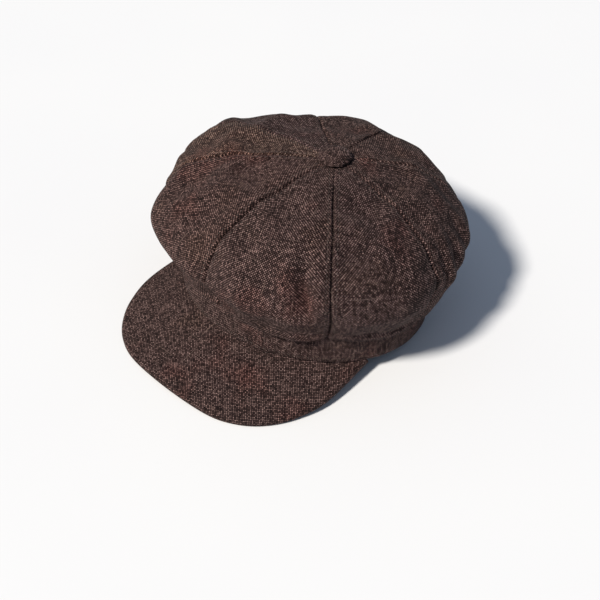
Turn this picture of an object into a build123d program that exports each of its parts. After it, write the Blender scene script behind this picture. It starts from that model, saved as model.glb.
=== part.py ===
import os
from math import cos, radians, sin, sqrt, asin, degrees
from build123d import *

os.makedirs("parts", exist_ok=True)

# Eight-panel newsboy cap at rest on a table, visor towards -Y, crown up (+Z), in mm.
# Origin: centre of the head opening, at the level of the table it rests on.

# head opening and band
BAND_HALF_X = 97.0        # outside of the band at its lower edge, side to side
BAND_HALF_Y = 85.0        # outside of the band, front to back
BAND_HEIGHT = 22.0
BAND_LIFT = 10.0          # height of the opening's centre: the visor props the front up
BAND_TILT = degrees(asin(BAND_LIFT / BAND_HALF_Y))
BAND_JOIN = 22.0          # lapped front join, degrees round from the front to the wearer's left

# cloth
CLOTH = 1.0               # crown, band and visor cloth
INTERLINING = 0.6
SWEATBAND = 0.8
SWEATBAND_INSET = 2.0     # outside of the band to the outside of the sweatband
LINING = 0.5
LINING_INSET = 2.0        # outside of the crown to the outside of the lining

# crown: eight gores from the button to the band
PANELS = 8
BUTTON_X = 12.0           # the soft crown has settled towards the wearer's left and back
BUTTON_Y = 19.0
CROWN_TOP = 121.0
GORE_BULGE = 4.0          # how far a gore swells past its seams at the widest level
SHANK_HOLE = 2.0
# the crown's widest level, and how its side curves to the band and to the button
WIDE_LEVEL = 66.0
WIDE_HALF_X = 118.0
WIDE_HALF_Y = 112.0
TUCK_STATIONS = 5
RISE_STATIONS = 10
RISE_FULLNESS = 0.82      # under 1 keeps the shoulder full and the top flat
APEX_R = 6.0

# visor
VISOR_SLOPE = 0.262       # fall per mm away from the band
VISOR_THICK = 4.2
VISOR_BOARD = 2.2
VISOR_HEM = 3.0           # cloth turned over the edge of the board
VISOR_HALF = 96.0         # half the rim's width, before its ends turn in to the band
VISOR_FRONT = 140.0       # centre of the opening to the front of the rim
VISOR_END_X = 91.0        # where the rim meets the band
VISOR_END_Y = 30.0
VISOR_SQUARENESS = 0.7    # 1 makes the rim an ellipse, less makes its front corners fuller
VISOR_TURN_IN = 12        # the higher, the nearer the ends the rim starts to turn in

# covered button
BUTTON_R = 12.0
BUTTON_H = 8.0
BUTTON_SHELL = 0.5
POST_R = 1.2
WASHER_R = 8.0

AXIS_FOOT = Vector(0, 0, BAND_LIFT)
AXIS_DIR = (Vector(BUTTON_X, BUTTON_Y, CROWN_TOP) - AXIS_FOOT).normalized()
BAND_PLANE = Plane(AXIS_FOOT, x_dir=(1, 0, 0), z_dir=(0, sin(radians(BAND_TILT)), cos(radians(BAND_TILT))))
BAND_TOP = BAND_LIFT + BAND_HEIGHT


def save(part, label):
    part.label = label
    export_step(part, "parts/" + label + ".step")


def crown_stations():
    """Level on the axis, half width, half depth and backward tilt, from the band to the button."""
    out = []
    for i in range(TUCK_STATIONS):
        a = radians(90 - 90 * i / TUCK_STATIONS)
        half_x = BAND_HALF_X + (WIDE_HALF_X - BAND_HALF_X) * cos(a)
        half_y = BAND_HALF_Y + (WIDE_HALF_Y - BAND_HALF_Y) * cos(a)
        out.append((WIDE_LEVEL + (BAND_TOP - WIDE_LEVEL) * sin(a), half_x, half_y, BAND_TILT * sin(a) ** 3))
    for i in range(RISE_STATIONS + 1):
        a = radians(90 * (1 - i / RISE_STATIONS))
        share = max(sin(a) ** RISE_FULLNESS, APEX_R / WIDE_HALF_X)
        level = WIDE_LEVEL + (CROWN_TOP - WIDE_LEVEL) * cos(a)
        out.append((level, WIDE_HALF_X * share, WIDE_HALF_Y * share, 0))
    return out


def station_normals(stations):
    """Outward direction (radial, up) of the crown's side at each station."""
    out = []
    last = len(stations) - 1
    for i in range(last + 1):
        a = stations[max(i - 1, 0)]
        b = stations[min(i + 1, last)]
        dr = (b[1] + b[2] - a[1] - a[2]) / 2
        dz = b[0] - a[0]
        length = sqrt(dr * dr + dz * dz)
        out.append((dz / length, -dr / length))
    out[0] = (1.0, 0.0)
    out[-1] = (0.0, 1.0)
    return out


def gore_section(plane, half_x, half_y, bulge):
    """A closed outline of eight arcs, one to a gore, meeting at the seams."""
    step = 360 / PANELS

    def rim(angle, extra):
        a = radians(angle)
        r = 1 / sqrt((sin(a) / half_x) ** 2 + (cos(a) / half_y) ** 2) + extra
        return (r * sin(a), -r * cos(a))

    with BuildSketch(plane) as section:
        with BuildLine():
            for k in range(PANELS):
                start = rim(k * step, 0)
                middle = rim((k + 0.5) * step, bulge)
                end = rim((k + 1) * step if k < PANELS - 1 else 0, 0)
                ThreePointArc(start, middle, end)
        make_face()
    return section.sketch


def crown_form(inset):
    """The whole crown as a solid, its surface moved in by the inset."""
    stations = crown_stations()
    with BuildPart() as form:
        for (z, half_x, half_y, tilt), (out, up) in zip(stations, station_normals(stations)):
            along = (z - BAND_LIFT) / (CROWN_TOP - BAND_LIFT)
            centre = (BUTTON_X * along, BUTTON_Y * along, z - inset * up)
            lean = radians(tilt)
            plane = Plane(centre, x_dir=(1, 0, 0), z_dir=(0, sin(lean), cos(lean)))
            bulge = GORE_BULGE * min(1, (z - BAND_TOP) / 20) * min(1, half_x / WIDE_HALF_X)
            add(gore_section(plane, half_x - inset * out, half_y - inset * out, bulge))
        loft(ruled=True)
    return form.part


def gore_sector(k):
    """Plan of gore k between its two seams."""
    step = 360 / PANELS
    reach = 260.0
    corners = [(0, 0)]
    for part_way in (0, 0.5, 1):
        a = radians((k + part_way) * step)
        corners.append((reach * sin(a), -reach * cos(a)))
    return corners


def cut_gores(skin, name):
    """Cuts a crown-shaped skin into its gores, counted from the front seam to the wearer's left."""
    for k in range(PANELS):
        with BuildPart() as gore:
            add(skin)
            with BuildSketch(Plane.XY.offset(BAND_LIFT)):
                with BuildLine():
                    Polyline(*gore_sector(k), close=True)
                make_face()
            extrude(amount=200, dir=AXIS_DIR, mode=Mode.INTERSECT)
            with BuildSketch(Plane.XY.offset(100)):
                with Locations((BUTTON_X, BUTTON_Y)):
                    Circle(SHANK_HOLE)
            extrude(amount=40, mode=Mode.SUBTRACT)
        save(gore.part, name + "_" + str(k + 1))


# crown cloth and its lining
crown_outside = crown_form(0)
crown_inside = crown_form(CLOTH)
with BuildPart() as crown_skin:
    add(crown_outside)
    add(crown_inside, mode=Mode.SUBTRACT)
cut_gores(crown_skin.part, "crown_panel")

lining_outside = crown_form(LINING_INSET)
lining_inside = crown_form(LINING_INSET + LINING)
with BuildPart() as lining_skin:
    add(lining_outside)
    add(lining_inside, mode=Mode.SUBTRACT)
cut_gores(lining_skin.part, "lining_panel")


def band_ring(inset, thick):
    """A closed ring of cloth standing on the head opening's tilted plane."""
    with BuildPart() as ring:
        with BuildSketch(BAND_PLANE):
            Ellipse(BAND_HALF_X - inset, BAND_HALF_Y - inset)
            Ellipse(BAND_HALF_X - inset - thick, BAND_HALF_Y - inset - thick, mode=Mode.SUBTRACT)
        extrude(amount=BAND_HEIGHT)
    return ring.part


def half_plan(start):
    """Plan of the half turn of band that starts at the given angle."""
    reach = 200.0
    corners = []
    for turn in (0, 45, 90, 135, 180):
        a = radians(start + turn)
        corners.append((reach * sin(a), -reach * cos(a)))
    return corners


# band cloth in two lengths, one from the front join round the wearer's left side
band_cloth = band_ring(0, CLOTH)
with BuildPart() as band_left:
    add(band_cloth)
    with BuildSketch(BAND_PLANE):
        with BuildLine():
            Polyline(*half_plan(BAND_JOIN), close=True)
        make_face()
    extrude(amount=BAND_HEIGHT, mode=Mode.INTERSECT)
save(band_left.part, "band_left")

with BuildPart() as band_right:
    add(band_cloth)
    with BuildSketch(BAND_PLANE):
        with BuildLine():
            Polyline(*half_plan(BAND_JOIN + 180), close=True)
        make_face()
    extrude(amount=BAND_HEIGHT, mode=Mode.INTERSECT)
save(band_right.part, "band_right")

interlining_ring = band_ring(CLOTH, INTERLINING)
with BuildPart() as band_interlining:
    add(interlining_ring)
save(band_interlining.part, "band_interlining")

sweatband_ring = band_ring(SWEATBAND_INSET, SWEATBAND)
with BuildPart() as sweatband:
    add(sweatband_ring)
save(sweatband.part, "sweatband")


# visor: a bowed board between two cloth covers, sloping away from the band's lower edge
INNER_X = BAND_HALF_X - SWEATBAND_INSET - SWEATBAND
INNER_Y = BAND_HALF_Y - SWEATBAND_INSET - SWEATBAND
SKIRT_FOOT = -6.0
FRONT_REACH = INNER_Y + (2 * BAND_LIFT - SKIRT_FOOT) / VISOR_SLOPE
BACK_REACH = INNER_Y - SKIRT_FOOT / VISOR_SLOPE
SIDE_REACH = INNER_X + (BAND_LIFT - SKIRT_FOOT) / VISOR_SLOPE


def skirt(drop):
    """Solid under a skirt that slopes out and down from the inside of the band."""
    plane = Plane(BAND_PLANE.origin - (0, 0, drop), x_dir=BAND_PLANE.x_dir, z_dir=BAND_PLANE.z_dir)
    with BuildPart() as form:
        with BuildSketch(plane):
            Ellipse(INNER_X, INNER_Y)
        with BuildSketch(Plane.XY.offset(SKIRT_FOOT - drop)):
            with Locations((0, (BACK_REACH - FRONT_REACH) / 2)):
                Ellipse(SIDE_REACH, (BACK_REACH + FRONT_REACH) / 2)
        loft(ruled=True)
    return form.part


def visor_rim(inset):
    """Points along the visor's rim from its right corner to its left, drawn in by the inset."""
    right = []
    for turn in range(0, 91, 15):
        across = sin(radians(turn)) ** VISOR_SQUARENESS
        forward = max(cos(radians(turn)), 0) ** VISOR_SQUARENESS
        x = VISOR_HALF * across - (VISOR_HALF - VISOR_END_X) * (turn / 90) ** VISOR_TURN_IN
        right.append(Vector(x, -VISOR_END_Y - (VISOR_FRONT - VISOR_END_Y) * forward))
    left = [Vector(-v.X, v.Y) for v in right[:0:-1]]
    rim = left + right
    out = []
    for i, point in enumerate(rim):
        along = (rim[min(i + 1, len(rim) - 1)] - rim[max(i - 1, 0)]).normalized()
        out.append(point + Vector(-along.Y, along.X) * inset)
    return out


def visor_slab(top, bottom, inset):
    """The visor's layer between two depths, its outline drawn in by the inset."""
    rim = visor_rim(inset)
    with BuildPart() as slab:
        add(skirt(top))
        add(skirt(bottom), mode=Mode.SUBTRACT)
        with BuildSketch(Plane.XY.offset(-20)):
            with BuildLine():
                edge = Spline(*rim)
                Line(edge @ 1, (0, 0))
                Line((0, 0), edge @ 0)
            make_face()
        extrude(amount=60, mode=Mode.INTERSECT)
        with BuildSketch(Plane.XY.offset(-20)):
            Ellipse(INNER_X, INNER_Y * cos(radians(BAND_TILT)))
        extrude(amount=60, mode=Mode.SUBTRACT)
        with BuildSketch(Plane.XY):
            Rectangle(400, 400)
        extrude(amount=60, mode=Mode.INTERSECT)
    return slab.part


board_layer = visor_slab(CLOTH, CLOTH + VISOR_BOARD, VISOR_HEM)
upper_half = visor_slab(0, VISOR_THICK / 2, 0)
lower_half = visor_slab(VISOR_THICK / 2, VISOR_THICK, 0)
below_top_cloth = visor_slab(CLOTH, VISOR_THICK, VISOR_HEM)
above_under_cloth = visor_slab(0, CLOTH + VISOR_BOARD, VISOR_HEM)

with BuildPart() as visor_board:
    add(board_layer)
save(visor_board.part, "visor_board")

# the two covers meet halfway down the rim, where they are seamed and turned
with BuildPart() as visor_top_cover:
    add(upper_half)
    add(below_top_cloth, mode=Mode.SUBTRACT)
save(visor_top_cover.part, "visor_top_cover")

with BuildPart() as visor_under_cover:
    add(lower_half)
    add(above_under_cloth, mode=Mode.SUBTRACT)
save(visor_under_cover.part, "visor_under_cover")


# covered button on the crown's apex, held by a post clinched through a washer inside
def turned(points):
    """A body of revolution about the button's axis, from (radius, height above the crown) points."""
    plane = Plane((BUTTON_X, BUTTON_Y, CROWN_TOP), x_dir=(1, 0, 0), z_dir=(0, -1, 0))
    with BuildPart() as body:
        with BuildSketch(plane):
            with BuildLine():
                Polyline(*points, close=True)
            make_face()
        revolve(axis=Axis((BUTTON_X, BUTTON_Y, 0), (0, 0, 1)))
    return body.part


def dome(radius, height, foot, count=9):
    """Points over half a low dome, from its rim at the foot to its crest on the axis."""
    out = []
    for i in range(count + 1):
        a = radians(90 * i / count)
        out.append((radius * cos(a), foot + (height - foot) * sin(a)))
    return out


INNER_TOP = -(LINING_INSET + LINING)
cover_outside = dome(BUTTON_R, BUTTON_H, 2.0)
cover_inside = dome(BUTTON_R - CLOTH, BUTTON_H - CLOTH, 2.0)
cover_hem = [(BUTTON_R - 3.5, 1.0), (BUTTON_R - 3.5, 0.1), (BUTTON_R - 1.2, 0.1), (BUTTON_R, 1.0)]
cover_body = turned(cover_outside + cover_inside[::-1] + [(BUTTON_R - CLOTH, 1.0)] + cover_hem)
with BuildPart() as button_cover:
    add(cover_body)
save(button_cover.part, "button_cover")

SHELL_R = BUTTON_R - CLOTH - 0.05
SHELL_TOP = BUTTON_H - CLOTH - 0.05
shell_outside = dome(SHELL_R, SHELL_TOP, 2.0)
shell_inside = dome(SHELL_R - BUTTON_SHELL, SHELL_TOP - BUTTON_SHELL, 2.0)
shell_body = turned(shell_outside + shell_inside[::-1] + [(SHELL_R - BUTTON_SHELL, 1.1), (SHELL_R, 1.1)])
with BuildPart() as button_shell:
    add(shell_body)
save(button_shell.part, "button_shell")

PLATE_R = BUTTON_R - 1.8
CLINCH = INNER_TOP - 1.0
post_body = turned([
    (0, 1.8), (PLATE_R, 1.8), (PLATE_R, 1.1), (POST_R, 1.1), (POST_R, CLINCH),
    (POST_R + 1.2, CLINCH), (POST_R + 1.2, CLINCH - 0.6), (0, CLINCH - 0.6),
])
with BuildPart() as button_post:
    add(post_body)
save(button_post.part, "button_post")

washer_body = turned([
    (POST_R + 0.1, INNER_TOP - 0.9), (WASHER_R, INNER_TOP - 0.9),
    (WASHER_R, INNER_TOP - 0.3), (POST_R + 0.1, INNER_TOP - 0.3),
])
with BuildPart() as button_washer:
    add(washer_body)
save(button_washer.part, "button_washer")
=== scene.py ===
import bmesh
import bpy
import numpy as np
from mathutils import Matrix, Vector, noise


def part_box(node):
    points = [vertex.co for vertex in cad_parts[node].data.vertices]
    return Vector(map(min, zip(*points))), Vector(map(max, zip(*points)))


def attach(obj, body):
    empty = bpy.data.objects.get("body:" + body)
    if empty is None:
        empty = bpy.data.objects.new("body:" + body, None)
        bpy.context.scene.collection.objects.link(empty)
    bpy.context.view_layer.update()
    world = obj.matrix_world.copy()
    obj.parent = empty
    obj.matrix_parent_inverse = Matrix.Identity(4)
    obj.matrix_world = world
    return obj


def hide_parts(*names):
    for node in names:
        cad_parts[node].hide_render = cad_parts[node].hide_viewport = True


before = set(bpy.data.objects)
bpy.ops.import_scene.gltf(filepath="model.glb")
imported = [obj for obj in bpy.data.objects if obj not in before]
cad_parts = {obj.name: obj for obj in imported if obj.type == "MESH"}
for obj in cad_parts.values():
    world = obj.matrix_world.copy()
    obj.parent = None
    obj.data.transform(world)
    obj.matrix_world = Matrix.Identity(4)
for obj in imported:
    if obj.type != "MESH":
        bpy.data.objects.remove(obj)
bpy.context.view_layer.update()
MM = 0.001

# ---------------------------------------------------------------------------------------------
# Sizes in mm: those that the frame gives are read from it, and the rest repeat the CAD's
# ---------------------------------------------------------------------------------------------


def box_mm(*nodes):
    lows = np.array([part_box(n)[0] for n in nodes]) / MM
    highs = np.array([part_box(n)[1] for n in nodes]) / MM
    return lows.min(0), highs.max(0)


band_lo, band_hi = box_mm("band_left", "band_right")
button_lo, button_hi = box_mm("button_cover")
visor_lo, visor_hi = box_mm("visor_top_cover", "visor_under_cover")

BAND_X = (band_hi[0] - band_lo[0]) / 2
BAND_H = 22.0
TILT = np.radians(6.76)
BAND_Y = 85.0
LIFT = BAND_Y * np.sin(TILT)
BUTTON = np.array([(button_lo[0] + button_hi[0]) / 2, (button_lo[1] + button_hi[1]) / 2, button_lo[2]])
BUTTON_R = (button_hi[0] - button_lo[0]) / 2
CLOTH = 1.0
LINING_GAP = 2.1
LINING_THICK = 0.5

# ---------------------------------------------------------------------------------------------
# Shape of the resting crown. s counts the seams from the front (0) to the wearer's left (2), the
# back (4) and the right (6), and t runs from the button (0) to the band (1)
# ---------------------------------------------------------------------------------------------

WIDE_X = 117.0            # half widths of the crown at its widest level
WIDE_Y = 106.0
WIDE_LEVEL = 66.0
FULLNESS = 0.82           # under 1 keeps the shoulder full and the top flat
SWELL = 3.0               # how far a gore swells past its seams
SET_BACK = 8.0            # the widest outline sits this far behind the opening's centre
TOP = BUTTON[2] + 0.2     # the crown's cloth reaches up to the button's underside
TOP_SHARE = 0.64          # share of the gore's rows above its widest level
# the slack cloth has slumped: it pouches at the front right, and its right side stands higher
POUCH_AT, POUCH_WIDE = 7.0, 0.9
POUCH_OUT = 4.0
POUCH_SLIDE = -15.0       # degrees that the front-right seam has slid back
FRONT_LEFT_SLIDE = 5.0    # degrees that the front-left seam has slid to the left
HIGH_AT, HIGH_WIDE, HIGH_BY = 6.2, 1.0, 9.0
HIGH_FULLER = -0.06       # added to the fullness where the crown stands high
FOOT_SHARE = 0.6          # share of the front-left seam's slide that its foot on the band takes
FOOT_OUT = -0.6           # the crown's foot stands this far outside the band
FRONT_AT, FRONT_WIDE = 0, 0.7
FRONT_IN = -5.0           # the front seam is drawn in towards the band
FRONT_LEFT_AT, FRONT_LEFT_WIDE = 1, 0.8
LEFT_AT, LEFT_WIDE = 2.4, 0.4
LEFT_IN = -3.0            # and the back of the left side has sunk in


def hill(x, centre, width):
    """A smooth bump, which runs on past the front seam where seam position 8 meets 0."""
    away = (x - centre + 4) % 8 - 4
    return np.exp(-((away / width) ** 2))


def on_band(phi, height, inset=0.0):
    """A point on the band's tilted oval, phi counted from the front."""
    x = (BAND_X - inset) * np.sin(phi)
    y = -(BAND_Y - inset) * np.cos(phi)
    level = LIFT - y * np.sin(TILT) + height * np.cos(TILT)
    return np.stack([x, y * np.cos(TILT) + height * np.sin(TILT), level], -1)


def crown_surface(s, t):
    """The crown's outside at seam position s (0 to 8) and t from 0 at the button to 1 at the band."""
    s, t = np.broadcast_arrays(np.asarray(s, float), np.asarray(t, float))
    f = s - np.floor(s)
    phi = np.radians(45.0 * s)
    pouch = hill(s, POUCH_AT, POUCH_WIDE)
    reach = 1 / np.sqrt((np.sin(phi) / WIDE_X) ** 2 + (np.cos(phi) / WIDE_Y) ** 2)
    reach = reach + SWELL * np.sin(np.pi * f) ** 0.8 + POUCH_OUT * pouch
    reach = reach + FRONT_IN * hill(s, FRONT_AT, FRONT_WIDE) + LEFT_IN * hill(s, LEFT_AT, LEFT_WIDE)
    high = hill(s, HIGH_AT, HIGH_WIDE)
    level = WIDE_LEVEL + HIGH_BY * high
    slid = FRONT_LEFT_SLIDE * hill(s, FRONT_LEFT_AT, FRONT_LEFT_WIDE)
    turn = phi + np.radians(POUCH_SLIDE * pouch + slid)
    wide = np.stack([reach * np.sin(turn), SET_BACK - reach * np.cos(turn), level], -1)
    top = np.array([BUTTON[0], BUTTON[1], TOP])
    foot = on_band(phi + np.radians(FOOT_SHARE * slid), BAND_H, FOOT_OUT)
    u = np.clip(t / TOP_SHARE, 0, 1) * np.pi / 2
    out = np.sin(u) ** (FULLNESS + HIGH_FULLER * high)
    up = np.cos(u)
    rise = np.empty(s.shape + (3,))
    rise[..., :2] = top[:2] + (wide[..., :2] - top[:2]) * out[..., None]
    rise[..., 2] = wide[..., 2] + (top[2] - wide[..., 2]) * up
    w = np.clip((t - TOP_SHARE) / (1 - TOP_SHARE), 0, 1)
    # the underside is straight at the front and under the pouch, and rounded behind
    straight = np.minimum(0.5 + 0.3 * np.cos(phi) + 0.35 * pouch, 1)
    keep = (1 - straight) * np.cos(w * np.pi / 2) + straight * (1 - w**1.3)
    drop = (1 - straight) * np.sin(w * np.pi / 2) + straight * w
    tuck = np.empty(s.shape + (3,))
    tuck[..., :2] = foot[..., :2] + (wide[..., :2] - foot[..., :2]) * keep[..., None]
    tuck[..., 2] = wide[..., 2] + (foot[..., 2] - wide[..., 2]) * drop
    return np.where((t <= TOP_SHARE)[..., None], rise, tuck)


def grid_normals(p):
    """Outward unit normals of a grid of points (along, across, 3)."""
    da = np.gradient(p, axis=0)
    db = np.gradient(p, axis=1)
    n = np.cross(db, da)
    length = np.linalg.norm(n, axis=-1, keepdims=True)
    n = n / np.maximum(length, 1e-9)
    centre = np.array([0.0, 5.0, 55.0])
    side = np.sign(np.sum(n * (p - centre), axis=-1))
    return n * (1.0 if side.sum() > 0 else -1.0)


# ---------------------------------------------------------------------------------------------
# Materials
# ---------------------------------------------------------------------------------------------


class Nodes:
    """Short names for building a node material."""

    def __init__(self, name):
        self.mat = bpy.data.materials.new(name)
        self.mat.use_nodes = True
        self.tree = self.mat.node_tree
        self.tree.nodes.clear()
        self.out = self.tree.nodes.new("ShaderNodeOutputMaterial")
        self.bsdf = self.tree.nodes.new("ShaderNodeBsdfPrincipled")
        self.tree.links.new(self.bsdf.outputs[0], self.out.inputs[0])

    def node(self, kind, **settings):
        n = self.tree.nodes.new(kind)
        for key, value in settings.items():
            setattr(n, key, value)
        return n

    def link(self, a, b):
        self.tree.links.new(a, b)

    def math(self, op, a, b=None, c=None, clamp=False):
        n = self.node("ShaderNodeMath", operation=op, use_clamp=clamp)
        for i, v in enumerate((a, b, c)):
            if v is None:
                continue
            if isinstance(v, (int, float)):
                n.inputs[i].default_value = v
            else:
                self.link(v, n.inputs[i])
        return n.outputs[0]

    def mapping(self, vector, scale, location=(0, 0, 0)):
        n = self.node("ShaderNodeMapping")
        n.inputs["Scale"].default_value = scale
        n.inputs["Location"].default_value = location
        self.link(vector, n.inputs["Vector"])
        return n.outputs[0]

    def noise(self, vector, scale, detail=2.0, rough=0.5):
        n = self.node("ShaderNodeTexNoise")
        n.inputs["Scale"].default_value = scale
        n.inputs["Detail"].default_value = detail
        n.inputs["Roughness"].default_value = rough
        self.link(vector, n.inputs["Vector"])
        return n.outputs[0]

    def ramp(self, value, stops):
        n = self.node("ShaderNodeValToRGB")
        r = n.color_ramp
        while len(r.elements) < len(stops):
            r.elements.new(0.5)
        for e, (pos, col) in zip(r.elements, stops):
            e.position = pos
            e.color = (*col, 1)
        self.link(value, n.inputs[0])
        return n.outputs[0]

    def mix(self, factor, a, b, mode="MIX"):
        n = self.node("ShaderNodeMix", data_type="RGBA", blend_type=mode)
        if isinstance(factor, (int, float)):
            n.inputs[0].default_value = factor
        else:
            self.link(factor, n.inputs[0])
        for v, socket in ((a, n.inputs[6]), (b, n.inputs[7])):
            if isinstance(v, tuple):
                socket.default_value = (*v, 1)
            else:
                self.link(v, socket)
        return n.outputs[2]

    def bump(self, height, strength, distance):
        n = self.node("ShaderNodeBump")
        n.inputs["Strength"].default_value = strength
        n.inputs["Distance"].default_value = distance
        self.link(height, n.inputs["Height"])
        self.link(n.outputs[0], self.bsdf.inputs["Normal"])


# the linen's colour from its deepest shade to its palest thread
LINEN_TONES = [
    (0.38, (0.0035, 0.0019, 0.0019)), (0.53, (0.018, 0.0098, 0.0090)),
    (0.66, (0.074, 0.042, 0.038)), (0.84, (0.36, 0.230, 0.205)),
]


def linen(name, shift=0.0, painted_shade_and_hue=(1.0, 1.0, 1.0), thread=0.84):
    """Brown heather linen in plain weave: uneven warp and weft, pale slubs, reddish and olive patches.

    UVs are in mm."""
    m = Nodes(name)
    uv = m.node("ShaderNodeUVMap", uv_map="cloth").outputs[0]
    obj = m.node("ShaderNodeTexCoord").outputs["Object"]
    part = m.node("ShaderNodeSeparateXYZ")
    m.link(uv, part.inputs[0])
    wander = m.noise(m.mapping(uv, (0.03, 0.03, 1), (shift, 3, 0)), 1.0, 1.0)
    u = m.math("ADD", part.outputs[0], m.math("MULTIPLY", wander, 1.5))
    v = m.math("ADD", part.outputs[1], m.math("MULTIPLY", wander, -1.5))
    warp_no = m.math("FLOOR", m.math("DIVIDE", u, thread))
    weft_no = m.math("FLOOR", m.math("DIVIDE", v, thread))
    cross = m.math("MULTIPLY", m.math("SINE", m.math("MULTIPLY", u, np.pi / thread)),
                   m.math("SINE", m.math("MULTIPLY", v, np.pi / thread)))
    warp_up = m.math("MULTIPLY_ADD", cross, 4.0, 0.5, clamp=True)
    crest = m.math("POWER", m.math("ABSOLUTE", cross), 0.5)

    def yarn(number, along, seed):
        at = m.node("ShaderNodeCombineXYZ")
        m.link(m.math("MULTIPLY", number, 3.7), at.inputs[0])
        m.link(m.math("MULTIPLY", along, 0.32), at.inputs[1])
        at.inputs[2].default_value = seed + shift
        return m.math("MULTIPLY_ADD", m.noise(at.outputs[0], 1.0, 1.0, 0.5), 0.85, 0.075)

    warp = yarn(warp_no, v, 2.0)
    weft = yarn(weft_no, u, 9.0)
    top = m.node("ShaderNodeMix", data_type="FLOAT")
    m.link(warp_up, top.inputs[0])
    m.link(m.math("SUBTRACT", weft, 0.25), top.inputs[2])
    m.link(m.math("ADD", warp, 0.20), top.inputs[3])
    knot_at = m.node("ShaderNodeCombineXYZ")
    m.link(m.math("ADD", warp_no, 0.5), knot_at.inputs[0])
    m.link(m.math("ADD", weft_no, 0.5), knot_at.inputs[1])
    knot_at.inputs[2].default_value = shift
    knot = m.node("ShaderNodeTexWhiteNoise", noise_dimensions="3D")
    m.link(knot_at.outputs[0], knot.inputs["Vector"])
    fine = m.noise(m.mapping(uv, (2.4, 2.4, 1), (shift, 7, 0)), 1.0, 1.0, 0.5)
    coarse = m.math("MULTIPLY", knot.outputs["Value"], 0.60)
    fuzz = m.math("ADD", coarse, m.math("MULTIPLY_ADD", fine, 0.4, 0.0))
    streak_a = m.noise(m.mapping(uv, (0.95, 0.035, 1), (shift * 5, 2, 1)), 1.0, 2.0, 0.7)
    streak_b = m.noise(m.mapping(uv, (0.035, 0.95, 1), (6, shift * 5, 3)), 1.0, 2.0, 0.7)
    streak = m.math("MULTIPLY_ADD", m.math("ADD", streak_a, streak_b), 0.16, -0.16)
    # the crest term paints each thread's crown paler and the gaps between threads darker: painted highlight
    # and painted shade at thread scale, besides the bump it also drives
    tone = m.math("ADD", m.math("MULTIPLY", top.outputs[0], 0.60),
                  m.math("ADD", m.math("MULTIPLY", fuzz, 0.27), m.math("MULTIPLY", crest, 0.18)))
    tone = m.math("ADD", tone, streak)
    colour = m.ramp(tone, LINEN_TONES)
    slub_a = m.noise(m.mapping(uv, (0.85, 0.030, 1), (shift * 3, 1, 2)), 1.0, 1.0, 0.4)
    slub_b = m.noise(m.mapping(uv, (0.030, 0.85, 1), (4, shift * 3, 9)), 1.0, 1.0, 0.4)
    slub = m.math("MAXIMUM", m.math("MULTIPLY", m.math("SUBTRACT", slub_a, 0.715), 16, clamp=True),
                  m.math("MULTIPLY", m.math("SUBTRACT", slub_b, 0.715), 16, clamp=True))
    colour = m.mix(m.math("MULTIPLY", slub, 0.45), colour, (0.22, 0.150, 0.125))
    patch = m.noise(obj, 26.0, 2.0, 0.5)
    red = m.math("MULTIPLY", m.math("SUBTRACT", patch, 0.56), 5.0, clamp=True)
    colour = m.mix(m.math("MULTIPLY", red, 0.40), colour, (1.5, 0.80, 0.70), "MULTIPLY")
    olive = m.math("MULTIPLY", m.math("SUBTRACT", 0.42, patch), 5.0, clamp=True)
    colour = m.mix(m.math("MULTIPLY", olive, 0.5), colour, (1.10, 1.06, 0.86), "MULTIPLY")
    worn = m.noise(m.mapping(obj, (1, 1, 1), (0.3, 0, 0)), 70.0, 3.0, 0.6)
    shade = m.math("MULTIPLY_ADD", worn, 0.8, 0.60)
    # the random wear tone is multiplied by the piece's per-gore factor, a painted shade or painted highlight
    # for how the light falls on each gore
    worn_and_painted_shade = m.node("ShaderNodeCombineXYZ")
    for i in range(3):
        m.link(m.math("MULTIPLY", shade, painted_shade_and_hue[i]), worn_and_painted_shade.inputs[i])
    colour = m.mix(1.0, colour, worn_and_painted_shade.outputs[0], "MULTIPLY")
    m.link(colour, m.bsdf.inputs["Base Color"])
    m.link(m.math("MULTIPLY_ADD", tone, -0.25, 1.0), m.bsdf.inputs["Roughness"])
    height = m.math("ADD", m.math("ADD", m.math("MULTIPLY", crest, 0.7), tone), m.math("MULTIPLY", slub, 0.5))
    m.bump(height, 0.8, 0.00035)
    m.bsdf.inputs["Sheen Weight"].default_value = 0.03
    m.bsdf.inputs["Sheen Roughness"].default_value = 0.5
    m.bsdf.inputs["Sheen Tint"].default_value = (0.80, 0.62, 0.54, 1)
    m.bsdf.inputs["Specular IOR Level"].default_value = 0.12
    return m.mat


def ribbed(name, colour, dark, pitch, along=1):
    """A fine ribbed tape or twill lining. UVs are in mm."""
    m = Nodes(name)
    uv = m.node("ShaderNodeUVMap", uv_map="cloth").outputs[0]
    part = m.node("ShaderNodeSeparateXYZ")
    m.link(uv, part.inputs[0])
    axis = part.outputs[0] if along else m.math("ADD", part.outputs[0], part.outputs[1])
    rib = m.math("MULTIPLY_ADD", m.math("SINE", m.math("MULTIPLY", axis, 2 * np.pi / pitch)), 0.5, 0.5)
    cloud = m.noise(m.mapping(uv, (0.08, 0.08, 1)), 1.0, 3.0)
    tone = m.math("ADD", m.math("MULTIPLY", rib, 0.55), m.math("MULTIPLY", cloud, 0.45))
    m.link(m.ramp(tone, [(0.2, dark), (0.8, colour)]), m.bsdf.inputs["Base Color"])
    m.link(m.math("MULTIPLY_ADD", cloud, 0.25, 0.55), m.bsdf.inputs["Roughness"])
    m.bump(rib, 0.5, 0.00015)
    m.bsdf.inputs["Sheen Weight"].default_value = 0.15
    return m.mat


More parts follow.
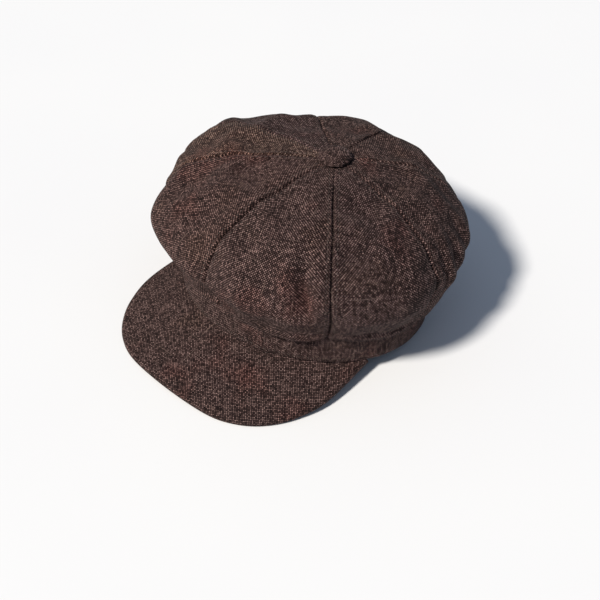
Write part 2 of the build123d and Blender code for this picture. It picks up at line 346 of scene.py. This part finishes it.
def thread_material(name, colour):
    m = Nodes(name)
    obj = m.node("ShaderNodeTexCoord").outputs["Object"]
    cloud = m.noise(obj, 900.0, 2.0)
    dark = tuple(c * 0.55 for c in colour)
    m.link(m.ramp(cloud, [(0.35, dark), (0.65, colour)]), m.bsdf.inputs["Base Color"])
    m.link(m.math("MULTIPLY_ADD", cloud, 0.2, 0.6), m.bsdf.inputs["Roughness"])
    m.bump(cloud, 0.4, 0.0001)
    return m.mat


def hard_material(name, colour, rough, metal=0.0):
    m = Nodes(name)
    obj = m.node("ShaderNodeTexCoord").outputs["Object"]
    cloud = m.noise(obj, 160.0, 4.0)
    dark = tuple(c * 0.7 for c in colour)
    m.link(m.ramp(cloud, [(0.3, dark), (0.7, colour)]), m.bsdf.inputs["Base Color"])
    m.link(m.math("MULTIPLY_ADD", cloud, 0.3, rough - 0.15), m.bsdf.inputs["Roughness"])
    m.bump(cloud, 0.15, 0.0001)
    m.bsdf.inputs["Metallic"].default_value = metal
    return m.mat


# each gore's colour is scaled by its own factor: brighter or darker for how the key light falls on that gore,
# a painted highlight or painted shade, with a slight hue shift per gore
GORE_PAINTED_SHADE_AND_HUE = (
    (1.00, 1.00, 1.00), (0.84, 0.84, 0.86), (0.92, 0.90, 0.90), (0.98, 0.96, 0.94),
    (1.00, 1.00, 0.98), (0.86, 0.88, 0.92), (1.16, 1.16, 1.04), (1.02, 0.98, 0.96),
)
GORE_LINEN = [linen("linen_gore_%d" % (k + 1), 11.3 * k, GORE_PAINTED_SHADE_AND_HUE[k], thread=0.93) for k in range(8)]
LINEN = [linen("linen_%d" % k, shift=95 + 11.3 * k) for k in range(4)]
LINING = ribbed("lining_twill", (0.034, 0.024, 0.020), (0.012, 0.009, 0.008), 0.9, along=0)
TAPE = ribbed("sweatband_grosgrain", (0.030, 0.024, 0.022), (0.010, 0.008, 0.008), 1.3)
THREAD = thread_material("brown_thread", (0.085, 0.058, 0.048))
INTERLINING = hard_material("interlining_felt", (0.62, 0.60, 0.55), 0.9)
BOARD = hard_material("visor_board_plastic", (0.05, 0.05, 0.05), 0.55)
STEEL = hard_material("button_steel", (0.55, 0.55, 0.56), 0.35, metal=1.0)

# ---------------------------------------------------------------------------------------------
# Mesh helpers
# ---------------------------------------------------------------------------------------------


def shell_mesh(name, outer, inner, uv, material, closed=False):
    """A closed thin piece between an outer and an inner grid (rows, columns, 3), in mm."""
    rows, cols = outer.shape[:2]
    count = rows * cols
    verts = np.concatenate([outer.reshape(-1, 3), inner.reshape(-1, 3)]) * MM
    faces, coords = [], []
    span = cols if closed else cols - 1
    for i in range(rows - 1):
        for j in range(span):
            k = (j + 1) % cols
            a, b, c, d = i * cols + j, i * cols + k, (i + 1) * cols + k, (i + 1) * cols + j
            ua, ub, uc, ud = uv[i, j], uv[i, k], uv[i + 1, k], uv[i + 1, j]
            if closed and k == 0:
                wide = uv[i, 1, 0] - uv[i, 0, 0]
                ub = uv[i, j] + np.array([wide, 0])
                uc = uv[i + 1, j] + np.array([wide, 0])
            faces.append((a, b, c, d))
            coords.append((ua, ub, uc, ud))
            faces.append((count + d, count + c, count + b, count + a))
            coords.append((ud, uc, ub, ua))
    for j in range(span):
        k = (j + 1) % cols
        for i, flip in ((0, True), (rows - 1, False)):
            a, b = i * cols + j, i * cols + k
            quad = (b, a, count + a, count + b) if flip else (a, b, count + b, count + a)
            faces.append(quad[::-1])
            coords.append((uv[i, j],) * 4)
    if not closed:
        for i in range(rows - 1):
            for j, flip in ((0, False), (cols - 1, True)):
                a, b = i * cols + j, (i + 1) * cols + j
                quad = (a, b, count + b, count + a)
                faces.append(quad[::-1] if flip else quad)
                coords.append((uv[i, j],) * 4)
    mesh = bpy.data.meshes.new(name)
    mesh.from_pydata([tuple(v) for v in verts], [], faces)
    layer = mesh.uv_layers.new(name="cloth")
    layer.data.foreach_set("uv", np.array(coords, float).reshape(-1))
    mesh.polygons.foreach_set("use_smooth", [True] * len(mesh.polygons))
    bm = bmesh.new()
    bm.from_mesh(mesh)
    bmesh.ops.recalc_face_normals(bm, faces=bm.faces)
    bm.to_mesh(mesh)
    bm.free()
    mesh.materials.append(material)
    obj = bpy.data.objects.new(name, mesh)
    bpy.context.scene.collection.objects.link(obj)
    return obj


def arc_lengths(p, axis):
    step = np.linalg.norm(np.diff(p, axis=axis), axis=-1)
    zero = np.zeros_like(np.take(step, [0], axis=axis))
    return np.concatenate([zero, np.cumsum(step, axis=axis)], axis=axis)


def fitted(obj, node_names):
    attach(obj, "root")
    if node_names:
        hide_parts(*node_names)
    return obj


# ---------------------------------------------------------------------------------------------
# Crown gores
# ---------------------------------------------------------------------------------------------

SETTLE_COLS = 160
SETTLE_ROWS = 62
SETTLE_FRAMES = 24
SETTLE_FROM = 0.01
SETTLE_EASE = 3           # passes of smoothing over the settled movement
SETTLE_DRIFT = 60         # passes that leave only the slow drift, which is taken off again
SETTLE_DEPTH = 1.05
SETTLE_CAP = 7.5          # the furthest that settling may move a point, mm
DRIFT_OFF = 0.85          # share of the slow drift that is taken off


def eased(field, passes):
    """A closed grid of movements, smoothed by the given number of passes."""
    field = field.copy()
    for _ in range(passes):
        field = (np.roll(field, 1, 1) + 2 * field + np.roll(field, -1, 1)) / 4
        field[1:-1] = (field[:-2] + 2 * field[1:-1] + field[2:]) / 4
    return field


def settle():
    """Lets the cloth of the whole crown find its own wrinkles, held at the button and the band.

    Returns how far each point of a (rows, columns) grid moved, in mm."""
    seam_at = np.arange(SETTLE_COLS) * 8 / SETTLE_COLS
    down = np.linspace(SETTLE_FROM, 1.0, SETTLE_ROWS)
    grid_s, grid_t = np.meshgrid(seam_at, down)
    start = crown_surface(grid_s, grid_t)
    cols, rows = SETTLE_COLS, SETTLE_ROWS
    faces = []
    for i in range(rows - 1):
        for j in range(cols):
            k = (j + 1) % cols
            faces.append((i * cols + j, (i + 1) * cols + j, (i + 1) * cols + k, i * cols + k))
    mesh = bpy.data.meshes.new("settling")
    mesh.from_pydata([tuple(v * MM) for v in start.reshape(-1, 3)], [], faces)
    obj = bpy.data.objects.new("settling", mesh)
    bpy.context.scene.collection.objects.link(obj)
    pins = obj.vertex_groups.new(name="pins")
    for i in range(rows):
        for j in range(cols):
            to_seam = abs(seam_at[j] - round(seam_at[j]))
            hold = 0.13 + 0.10 * max(0, 1 - to_seam / 0.08)
            if i <= 2 or i >= rows - 1:
                hold = 1.0
            elif i < 6:
                hold = 0.3
            pins.add([i * cols + j], hold, "REPLACE")
    cloth = obj.modifiers.new("cloth", "CLOTH")
    rules = cloth.settings
    rules.quality = 6
    rules.mass = 0.15
    rules.vertex_group_mass = "pins"
    rules.pin_stiffness = 1.0
    rules.tension_stiffness = 15
    rules.compression_stiffness = 5
    rules.shear_stiffness = 4
    rules.bending_stiffness = 8
    rules.shrink_min = -0.045
    rules.use_pressure = True
    rules.uniform_pressure_force = 0.4
    rules.effector_weights.gravity = 0.2
    cloth.collision_settings.use_collision = False
    cloth.collision_settings.use_self_collision = False
    cloth.point_cache.frame_start = 1
    cloth.point_cache.frame_end = SETTLE_FRAMES
    for number in range(1, SETTLE_FRAMES + 1):
        bpy.context.scene.frame_set(number)
    shown = obj.evaluated_get(bpy.context.evaluated_depsgraph_get())
    flat = np.empty(len(shown.data.vertices) * 3)
    shown.data.vertices.foreach_get("co", flat)
    move = flat.reshape(start.shape) / MM - start
    bpy.data.objects.remove(obj, do_unlink=True)
    bpy.data.meshes.remove(mesh)
    bpy.context.scene.frame_set(1)
    move = eased(move, SETTLE_EASE) - DRIFT_OFF * eased(move, SETTLE_DRIFT)
    move *= SETTLE_DEPTH
    far = np.linalg.norm(move, axis=-1, keepdims=True)
    return move * np.minimum(1, SETTLE_CAP / np.maximum(far, 1e-6))


MOVED = settle()


def moved(s, t):
    """The settled movement at any place on the crown, smooth between the grid's points."""
    col = np.asarray(s, float) * SETTLE_COLS / 8
    row = np.clip((t - SETTLE_FROM) / (1 - SETTLE_FROM), 0, 1) * (SETTLE_ROWS - 1)

    def weights(f):
        return (0.5 * (-f + 2 * f**2 - f**3), 0.5 * (2 - 5 * f**2 + 3 * f**3),
                0.5 * (f + 4 * f**2 - 3 * f**3), 0.5 * (f**3 - f**2))

    ci, ri = np.floor(col).astype(int), np.floor(row).astype(int)
    total = 0.0
    for a, wa in zip((-1, 0, 1, 2), weights(row - ri)):
        for b, wb in zip((-1, 0, 1, 2), weights(col - ci)):
            near = MOVED[np.clip(ri + a, 0, SETTLE_ROWS - 1), (ci + b) % SETTLE_COLS]
            total = total + near * (wa * wb)[..., None]
    return total


EDGE_STEPS = [0, 0.006, 0.012, 0.019, 0.026, 0.033, 0.041, 0.050, 0.062, 0.078]
HALF = EDGE_STEPS + list(np.linspace(0.1, 0.5, 17))
ACROSS = np.array(HALF + [1 - h for h in HALF[-2::-1]])
MIDDLE = TOP_SHARE * 2 / np.pi * np.arcsin(np.linspace(0.03, 0.24, 12) ** 1.2)
ALONG = np.concatenate([
    MIDDLE,
    np.linspace(MIDDLE[-1], TOP_SHARE, 52)[1:],
    np.linspace(TOP_SHARE, 1.0, 34)[1:],
])
SHARE_EDGE = 0.12         # share of a gore's width over which it turns to meet its neighbour
STITCH_OFF = 3.4          # topstitch to seam


def soft_noise(p, size, seed):
    """Smooth noise in -1..1 at points p (mm)."""
    flat = p.reshape(-1, 3)
    out = np.empty(len(flat))
    move = Vector((seed * 13.7, seed * 5.1, seed * 9.9))
    for i, q in enumerate(flat):
        out[i] = noise.noise(Vector((q[0] / size, q[1] / size, q[2] / size)) + move)
    return out.reshape(p.shape[:-1])


def folds(s, t):
    """Outward movement of the cloth, in mm, for the creases that the resting crown shows."""
    d = np.zeros(np.broadcast(s, t).shape)
    # curved dimple beside the front-left seam, with a ridge on each side of it
    d -= 7.0 * hill(s, 0.80 + 0.30 * (t - 0.5), 0.05) * hill(t, 0.5, 0.12)
    d += 2.6 * hill(s, 0.90, 0.05) * hill(t, 0.5, 0.13)
    d += 1.6 * hill(s, 0.66, 0.06) * hill(t, 0.48, 0.13)
    # the rim that the cloth makes where it turns in over the band
    d += (1.6 + 0.8 * np.sin(np.pi * s + 1)) * hill(t, 0.935, 0.03)
    # slack over the band at the front join
    d += 3.2 * hill(s, 0.7, 0.2) * hill(t, 0.90, 0.045)
    d -= 2.0 * hill(s, 0.6, 0.2) * hill(t, 0.985, 0.015)
    # a crease along the underside of the front-left gores
    d -= 2.2 * hill(s, 1.6, 0.5) * hill(t, 0.83, 0.022)
    d += 1.2 * hill(s, 1.6, 0.5) * hill(t, 0.885, 0.03)
    # pouch that stands out at the front-right, hollow under it and dented at the seam over it
    d += 4.0 * hill(s, 7.4, 0.2) * hill(t, 0.57, 0.07)
    d -= 6.0 * hill(s, 7.1, 0.45) * hill(t, 0.75, 0.08)
    d -= 2.5 * hill(s, 7.0, 0.10) * hill(t, 0.52, 0.10)
    # the shoulder at the right seam
    d += 3.0 * hill(s, 5.9, 0.25) * hill(t, 0.45, 0.12)
    d -= 5.0 * hill(s, 6.6, 0.25) * hill(t, 0.55, 0.12)
    d -= 1.0 * hill(s, 6.0, 0.10) * hill(t, 0.55, 0.10)
    # the back and the left side lie flatter
    d -= 5.0 * hill(s, 5.0, 0.7) * hill(t, 0.45, 0.15)
    d -= 3.5 * hill(s, 3.5, 0.5) * hill(t, 0.50, 0.12)
    d -= 4.0 * hill(s, 2.6, 0.45) * hill(t, 0.74, 0.1)
    # upright drape folds at the left side, nearest its seam the deepest
    for at, deep in ((2.15, 4.0), (2.35, 2.5), (2.55, 2.5)):
        d -= deep * hill(s, at, 0.035) * hill(t, 0.56, 0.13)
        d += 0.5 * deep * hill(s, at + 0.08, 0.045) * hill(t, 0.56, 0.13)
    # a short crease high in the gore to the left of the front-left seam
    d -= 1.5 * hill(s, 1.4, 0.03) * hill(t, 0.35, 0.07)
    return d


def unit(v):
    return v / np.maximum(np.linalg.norm(v, axis=-1, keepdims=True), 1e-9)


def crown_grids():
    """Points, normals, UVs and distances across for all eight gores, which share their edges exactly."""
    gores = []
    for k in range(8):
        s = np.broadcast_to(k + ACROSS[None, :], (len(ALONG), len(ACROSS)))
        t = np.broadcast_to(ALONG[:, None], s.shape)
        plain = crown_surface(np.clip(s, k + 1e-6, k + 1 - 1e-6), t)
        across = arc_lengths(plain, 1)
        along = arc_lengths(plain, 0)[:, len(ACROSS) // 2][:, None]
        uv = np.stack([across - across[:, -1:] / 2, np.broadcast_to(along, across.shape)], -1)
        p = plain + moved(s, t) * np.clip(t / 0.2, 0, 1)[..., None]
        gores.append([p, grid_normals(p), uv, across, s, t])
    row_width = np.mean([g[3][:, -1:] for g in gores], axis=0)
    room = np.clip(row_width / 40, 0.15, 1)
    shared = [unit(gores[k - 1][1][:, -1] + gores[k][1][:, 0]) for k in range(8)]
    for k, g in enumerate(gores):
        p, n, uv, across, s, t = g
        near = np.clip(1 - ACROSS / SHARE_EDGE, 0, 1)[None, :, None] ** 2
        far = np.clip(1 - (1 - ACROSS) / SHARE_EDGE, 0, 1)[None, :, None] ** 2
        n = unit(n * (1 - near - far) + shared[k][:, None] * near + shared[(k + 1) % 8][:, None] * far)
        edge = np.minimum(across, across[:, -1:] - across)
        lift = 0.5 * (1 - np.clip((edge - 4.5) / 3.0, 0, 1)) * room
        lift -= 2.3 * np.exp(-((edge / 0.85) ** 2)) * room
        lift -= 1.0 * np.exp(-((edge / 8.0) ** 2)) * room
        lift -= 0.3 * np.exp(-(((edge - STITCH_OFF) / 0.6) ** 2)) * room
        lift += folds(s, t)
        wave = soft_noise(p, 34.0, 1) * 1.3 + soft_noise(p, 13.0, 2) * 0.4
        lift += wave * np.clip(edge / 8, 0, 1) * np.sin(np.pi * np.clip(t, 0, 1)) ** 0.5
        g[0], g[1] = p + n * lift[..., None], n
    return [g[:4] for g in gores]


def gore(k, p, n, uv, across):
    obj = shell_mesh("crown_gore_%d" % (k + 1), p, p - n * CLOTH, uv, GORE_LINEN[k])
    fitted(obj, ["crown_panel_%d" % (k + 1)])
    q = p - n * (CLOTH + LINING_GAP - 1.0)
    back = q - n * LINING_THICK
    lining = shell_mesh("lining_gore_%d" % (k + 1), q[::3, ::2], back[::3, ::2], uv[::3, ::2], LINING)
    fitted(lining, ["lining_panel_%d" % (k + 1)])
    return p, n, across, across[:, -1:]


GORES = [gore(k, *grids) for k, grids in enumerate(crown_grids())]

# ---------------------------------------------------------------------------------------------
# Topstitching: real thread, one mesh to a group
# ---------------------------------------------------------------------------------------------


def stitches(name, runs, length=2.6, gap=0.9, radius=0.22):
    """Runs are (points, normals) along each row, in mm.

    Each stitch is a short bent thread that dips at both ends."""
    verts, faces = [], []
    sides = 5
    for points, normals in runs:
        run = arc_lengths(points, 0)
        total = run[-1]
        at = 0.6
        while at + length < total:
            marks = at + length * np.linspace(0, 1, 5)
            mid = np.stack([np.interp(marks, run, points[:, i]) for i in range(3)], -1)
            nor = np.stack([np.interp(marks, run, normals[:, i]) for i in range(3)], -1)
            nor /= np.linalg.norm(nor, axis=1, keepdims=True)
            rise = np.array([-0.28, 0.12, 0.2, 0.12, -0.28])
            mid = mid + nor * rise[:, None]
            tang = np.gradient(mid, axis=0)
            tang /= np.linalg.norm(tang, axis=1, keepdims=True)
            side = np.cross(tang, nor)
            side /= np.linalg.norm(side, axis=1, keepdims=True)
            base = len(verts)
            for i in range(5):
                for j in range(sides):
                    a = 2 * np.pi * j / sides
                    fat = radius * (0.6 if i in (0, 4) else 1.0)
                    verts.append(mid[i] + fat * (np.cos(a) * nor[i] + np.sin(a) * side[i]))
            for i in range(4):
                for j in range(sides):
                    k = (j + 1) % sides
                    this, after = base + i * sides, base + (i + 1) * sides
                    faces.append((this + j, this + k, after + k, after + j))
            faces.append(tuple(base + j for j in reversed(range(sides))))
            faces.append(tuple(base + 4 * sides + j for j in range(sides)))
            at += length + gap
    mesh = bpy.data.meshes.new(name)
    mesh.from_pydata([tuple(v * MM) for v in verts], [], faces)
    mesh.polygons.foreach_set("use_smooth", [True] * len(mesh.polygons))
    mesh.materials.append(THREAD)
    obj = bpy.data.objects.new(name, mesh)
    bpy.context.scene.collection.objects.link(obj)
    fitted(obj, [])
    return obj


def row_beside(p, n, across, width, off, left):
    """The line at a fixed distance from one edge of a gore."""
    out, nor = [], []
    for i in range(len(p)):
        if width[i, 0] < 2.4 * off:
            continue
        x = off if left else width[i, 0] - off
        out.append([np.interp(x, across[i], p[i, :, c]) for c in range(3)])
        nor.append([np.interp(x, across[i], n[i, :, c]) for c in range(3)])
    return np.array(out), np.array(nor)


crown_runs = []
for p, n, across, width in GORES:
    for left in (True, False):
        crown_runs.append(row_beside(p, n, across, width, STITCH_OFF, left))
stitches("crown_topstitch", crown_runs)

# ---------------------------------------------------------------------------------------------
# Band, sweatband
# ---------------------------------------------------------------------------------------------

JOIN = np.radians(22.0)
LAP = np.radians(5.0)


def band_strip(name, start, end, node, material, lap_at_start):
    count = int(abs(end - start) / np.radians(1.0))
    phi = np.linspace(start, end, count)
    high = np.linspace(0, BAND_H - 0.2, 15)
    P, H = np.meshgrid(phi, high)
    p = on_band(P, H)
    centre = on_band(P, H, 20.0)
    n = p - centre
    n /= np.linalg.norm(n, axis=-1, keepdims=True)
    roll = -0.8 * (np.exp(-((H / 0.9) ** 2)) + np.exp(-(((H - BAND_H) / 0.9) ** 2)))
    wave = 0.5 * soft_noise(p, 22.0, 5) + 0.35
    lift = roll + wave + 0.75
    if lap_at_start:
        over = np.clip(1 - (P - start) / (LAP * 2.2), 0, 1)
        lift = lift + 1.1 * np.clip(over * 2.2, 0, 1)
    lift -= 0.3 * np.exp(-(((H - 3.2) / 0.6) ** 2))
    p = p + n * lift[..., None]
    run = arc_lengths(p, 1)
    uv = np.stack([run, H], -1)
    obj = shell_mesh(name, p, p - n * (CLOTH * 0.9), uv, material)
    fitted(obj, [node])
    return p, n, H


left_p, left_n, left_h = band_strip("band_left_strip", JOIN - LAP, JOIN + np.pi, "band_left", LINEN[1], True)
right_p, right_n, right_h = band_strip("band_right_strip", JOIN - np.pi, JOIN, "band_right", LINEN[2], False)


def band_row(p, n, h, level):
    i = int(np.argmin(np.abs(h[:, 0] - level)))
    return p[i], n[i]


band_runs = [band_row(left_p, left_n, left_h, 3.2), band_row(right_p, right_n, right_h, 3.2)]
for column in (2, 5):
    band_runs.append((left_p[1:-1, column], left_n[1:-1, column]))
stitches("band_topstitch", band_runs)

phi = np.linspace(0, 2 * np.pi, 240, endpoint=False)
P, H = np.meshgrid(phi, np.linspace(0.1, BAND_H - 0.3, 8))
tape = on_band(P, H, 2.0)
inside = on_band(P, H, 2.8)
arc = np.broadcast_to(arc_lengths(tape, 1), P.shape)
sweatband = shell_mesh("sweatband_tape", tape, inside, np.stack([arc, H], -1), TAPE, closed=True)
fitted(sweatband, ["sweatband"])

# ---------------------------------------------------------------------------------------------
# Visor
# ---------------------------------------------------------------------------------------------

SLOPE = 0.262
SKIRT_FOOT = -6.0
THICK = 4.2
INNER_X, INNER_Y = BAND_X - 2.8, BAND_Y - 2.8
FRONT_REACH = INNER_Y + (2 * LIFT - SKIRT_FOOT) / SLOPE
BACK_REACH = INNER_Y - SKIRT_FOOT / SLOPE
SIDE_REACH = INNER_X + (LIFT - SKIRT_FOOT) / SLOPE
RIM_HALF = visor_hi[0] + 2.0       # half the rim's width, before its ends turn in to the band
RIM_FRONT = -visor_lo[1]
RIM_END_X, RIM_END_Y = 91.0, 30.0
RIM_SQUARENESS = 0.7
RIM_TURN_IN = 12


def rim_point(turn):
    """A point of the visor's rim, at a turn of 0 to 90 degrees from the front."""
    across = np.sin(np.radians(turn)) ** RIM_SQUARENESS
    forward = max(np.cos(np.radians(turn)), 0) ** RIM_SQUARENESS
    x = RIM_HALF * across - (RIM_HALF - RIM_END_X) * (turn / 90) ** RIM_TURN_IN
    return x, -RIM_END_Y - (RIM_FRONT - RIM_END_Y) * forward


def smooth_path(points, steps):
    """A curve through the points, evenly divided."""
    pts = np.array(points, float)
    ext = np.vstack([2 * pts[0] - pts[1], pts, 2 * pts[-1] - pts[-2]])
    out = []
    for i in range(1, len(ext) - 2):
        a, b, c, d = ext[i - 1], ext[i], ext[i + 1], ext[i + 2]
        for f in np.linspace(0, 1, 16, endpoint=False):
            curve = (2 * a - 5 * b + 4 * c - d) * f**2 + (3 * b - a - 3 * c + d) * f**3
            out.append(0.5 * (2 * b + (c - a) * f + curve))
    out.append(pts[-1])
    out = np.array(out)
    run = arc_lengths(out, 0)
    even = np.linspace(0, run[-1], steps)
    return np.stack([np.interp(even, run, out[:, i]) for i in range(2)], -1)


right_rim = [rim_point(turn) for turn in range(0, 91, 15)]
left_rim = [(-x, y) for x, y in right_rim[:0:-1]]
RIM = smooth_path(left_rim + right_rim, 161)


def skirt_height(xy):
    """Height of the visor's upper face over a plan point."""
    x, y = xy[..., 0], xy[..., 1]
    mid_y = (BACK_REACH - FRONT_REACH) / 2
    half_y = (BACK_REACH + FRONT_REACH) / 2
    lo, hi = np.zeros(x.shape), np.ones(x.shape)
    for _ in range(40):
        r = (lo + hi) / 2
        a = INNER_X + (SIDE_REACH - INNER_X) * r
        b = INNER_Y * np.cos(TILT) + (half_y - INNER_Y * np.cos(TILT)) * r
        c = mid_y * r
        outside = (x / a) ** 2 + ((y - c) / b) ** 2 > 1
        lo = np.where(outside, r, lo)
        hi = np.where(outside, hi, r)
    r = (lo + hi) / 2
    a = INNER_X + (SIDE_REACH - INNER_X) * r
    b = INNER_Y * np.cos(TILT) + (half_y - INNER_Y * np.cos(TILT)) * r
    sin_t = (mid_y * r - y) / b
    z_in = LIFT + INNER_Y * np.sin(TILT) * sin_t
    return z_in + (SKIRT_FOOT - z_in) * r


def visor_plan(across, count):
    """Plan points from the head opening (0) to the rim (1)."""
    inner = []
    for q in RIM:
        a = np.arctan2(q[0] / INNER_X, -q[1] / (INNER_Y * np.cos(TILT)))
        a = a * 0.97
        inner.append((INNER_X * 1.002 * np.sin(a), -INNER_Y * np.cos(TILT) * 1.002 * np.cos(a)))
    inner = np.array(inner)
    return inner[None] + (RIM - inner)[None] * across[:, None, None]


def visor_cover(name, node, top, material):
    across = np.concatenate([np.linspace(0, 0.9, 26), np.linspace(0.9, 1.0, 12)[1:]])
    plan = visor_plan(across, len(RIM))
    z = skirt_height(plan)
    reach = np.linalg.norm(plan[-1] - plan[0], axis=-1)[None]
    from_rim = (1 - across[:, None]) * reach
    half = THICK / 2
    curl = np.sqrt(np.clip(1 - ((half - np.clip(from_rim, 0, half)) / half) ** 2, 0, 1))
    wave = soft_noise(np.concatenate([plan, z[..., None]], -1), 30.0, 8) * 0.35
    ridge = 0.3 * np.exp(-(((from_rim - 5.5) / 2.0) ** 2)) - 0.25 * np.exp(-(((from_rim - 8.5) / 1.0) ** 2))
    edge_fade = np.clip(from_rim / 3, 0, 1)
    from_band = across[:, None] * reach
    ridge = ridge - 0.5 * np.exp(-(((from_band - 3.6) / 1.6) ** 2))
    if top:
        outer_z = z - half + (half + 0.25) * curl + (wave * 0.6 + ridge) * edge_fade
        inner_z = z - half + (half - CLOTH + 0.1) * curl
    else:
        outer_z = z - half - half * curl
        outer_z = np.maximum(outer_z, 0.02)
        inner_z = z - half - (half - CLOTH - 0.1) * curl
    outer = np.concatenate([plan, outer_z[..., None]], -1)
    inner = np.concatenate([plan, inner_z[..., None]], -1)
    shrink = np.clip(1 - (CLOTH * 0.9) / np.maximum(reach, 1), 0, 1)
    inner[-1, :, :2] = (plan[0] + (plan[-1] - plan[0]) * shrink[0][:, None])
    # the weave runs on over the curl instead of stretching down it
    away = unit(plan[-1] - plan[0])
    uv = plan + away[None] * (arc_lengths(outer, 0) - arc_lengths(plan, 0))[..., None]
    obj = shell_mesh(name, outer, inner, uv, material)
    fitted(obj, [node])


visor_cover("visor_top_cloth", "visor_top_cover", True, LINEN[3])
visor_cover("visor_under_cloth", "visor_under_cover", False, LINEN[0])

# ---------------------------------------------------------------------------------------------
# Button
# ---------------------------------------------------------------------------------------------

BUTTON_STAND = 0.6        # how far the button's cloth stands off the crown
theta = np.linspace(0, 2 * np.pi, 96, endpoint=False)
height = button_hi[2] - button_lo[2]
# shares of the button's radius and height, from its crest round to its hem
profile = [
    (0.02, 1.0), (0.16, 0.99), (0.32, 0.95), (0.48, 0.88), (0.63, 0.78), (0.76, 0.66), (0.87, 0.52),
    (0.95, 0.38), (1.0, 0.24), (1.0, 0.13), (0.95, 0.04), (0.84, 0.0), (0.72, 0.0),
]
outer = np.zeros((len(profile), len(theta), 3))
inner = np.zeros_like(outer)
for i, (r, h) in enumerate(profile):
    uneven = 0.6 + 0.4 * np.sin(theta * 3 + 1)
    pleat = 0.5 * np.sin(theta * 13 + 0.7) * np.clip((r - 0.55) * 2.2, 0, 1) * uneven
    rad = BUTTON_R * r + pleat * (1 if h > 0.02 else 0.4)
    rad_in = max(BUTTON_R * r - CLOTH * 0.8, 0.15)
    z = BUTTON[2] + height * h + BUTTON_STAND
    x, y = BUTTON[0] + rad * np.cos(theta), BUTTON[1] + rad * np.sin(theta)
    outer[i] = np.stack([x, y, np.full(theta.shape, z)], -1)
    zi = BUTTON[2] + max(height * h - CLOTH * (0.9 if h > 0.2 else -0.4), 0.4) + BUTTON_STAND
    x, y = BUTTON[0] + rad_in * np.cos(theta), BUTTON[1] + rad_in * np.sin(theta)
    inner[i] = np.stack([x, y, np.full(theta.shape, zi)], -1)
uv = np.stack([outer[..., 0], outer[..., 1] + (outer[..., 2] - BUTTON[2]) * 1.3], -1)
button = shell_mesh("button_cloth", outer, inner, uv, LINEN[0], closed=True)
fitted(button, ["button_cover"])

for node, material in (
    ("band_interlining", INTERLINING),
    ("visor_board", BOARD),
    ("button_shell", STEEL),
    ("button_post", STEEL),
    ("button_washer", STEEL),
):
    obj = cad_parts[node]
    for slot_index in range(len(obj.material_slots)):
        obj.material_slots[slot_index].material = material

# ---------------------------------------------------------------------------------------------
# Stage, light and camera
# ---------------------------------------------------------------------------------------------

bpy.ops.mesh.primitive_plane_add(size=12, location=(0, 0, -0.0002))
floor = bpy.context.object
floor.name = "floor"
fm = Nodes("floor_paint")
cloud = fm.noise(fm.node("ShaderNodeTexCoord").outputs["Object"], 3.0, 2.0)
fm.link(fm.ramp(cloud, [(0.3, (0.86, 0.86, 0.87)), (0.7, (0.88, 0.88, 0.88))]), fm.bsdf.inputs["Base Color"])
fm.bsdf.inputs["Roughness"].default_value = 0.7
floor.data.materials.append(fm.mat)

world = bpy.data.worlds.new("sky")
bpy.context.scene.world = world
world.use_nodes = True
sky = world.node_tree.nodes["Background"]
sky.inputs[0].default_value = (0.62, 0.76, 1.0, 1)
sky.inputs[1].default_value = 0.26
wall = world.node_tree.nodes.new("ShaderNodeBackground")
wall.inputs[0].default_value = (0.93, 0.93, 0.94, 1)
ray = world.node_tree.nodes.new("ShaderNodeLightPath")
either = world.node_tree.nodes.new("ShaderNodeMixShader")
world.node_tree.links.new(ray.outputs["Is Camera Ray"], either.inputs[0])
world.node_tree.links.new(sky.outputs[0], either.inputs[1])
world.node_tree.links.new(wall.outputs[0], either.inputs[2])
world.node_tree.links.new(either.outputs[0], world.node_tree.nodes["World Output"].inputs[0])
bpy.context.scene.view_settings.view_transform = "Standard"

SUN_TURN = np.radians(265)
SUN_HIGH = np.radians(48)
sun_dir = Vector((np.cos(SUN_TURN) * np.cos(SUN_HIGH), np.sin(SUN_TURN) * np.cos(SUN_HIGH), np.sin(SUN_HIGH)))
sun = bpy.data.lights.new("key", "SUN")
sun.energy = 4.1
sun.angle = np.radians(9)
sun.color = (1.0, 0.955, 0.885)
key = bpy.data.objects.new("key", sun)
key.rotation_euler = sun_dir.to_track_quat("Z", "Y").to_euler()
bpy.context.scene.collection.objects.link(key)

CAM_TURN, CAM_HIGH, CAM_FAR = np.radians(43.5), np.radians(39.5), 0.85
aim = Vector((0, 0, 0.040))
back = Vector((np.sin(CAM_TURN) * np.cos(CAM_HIGH), -np.cos(CAM_TURN) * np.cos(CAM_HIGH), np.sin(CAM_HIGH)))
lens = bpy.data.cameras.new("camera")
lens.sensor_width = 36
lens.lens = 68.5
lens.shift_x = -0.0065
lens.shift_y = -0.078
camera = bpy.data.objects.new("camera", lens)
camera.location = aim + back * CAM_FAR
camera.rotation_euler = back.to_track_quat("Z", "Y").to_euler()
bpy.context.scene.collection.objects.link(camera)
bpy.context.scene.camera = camera
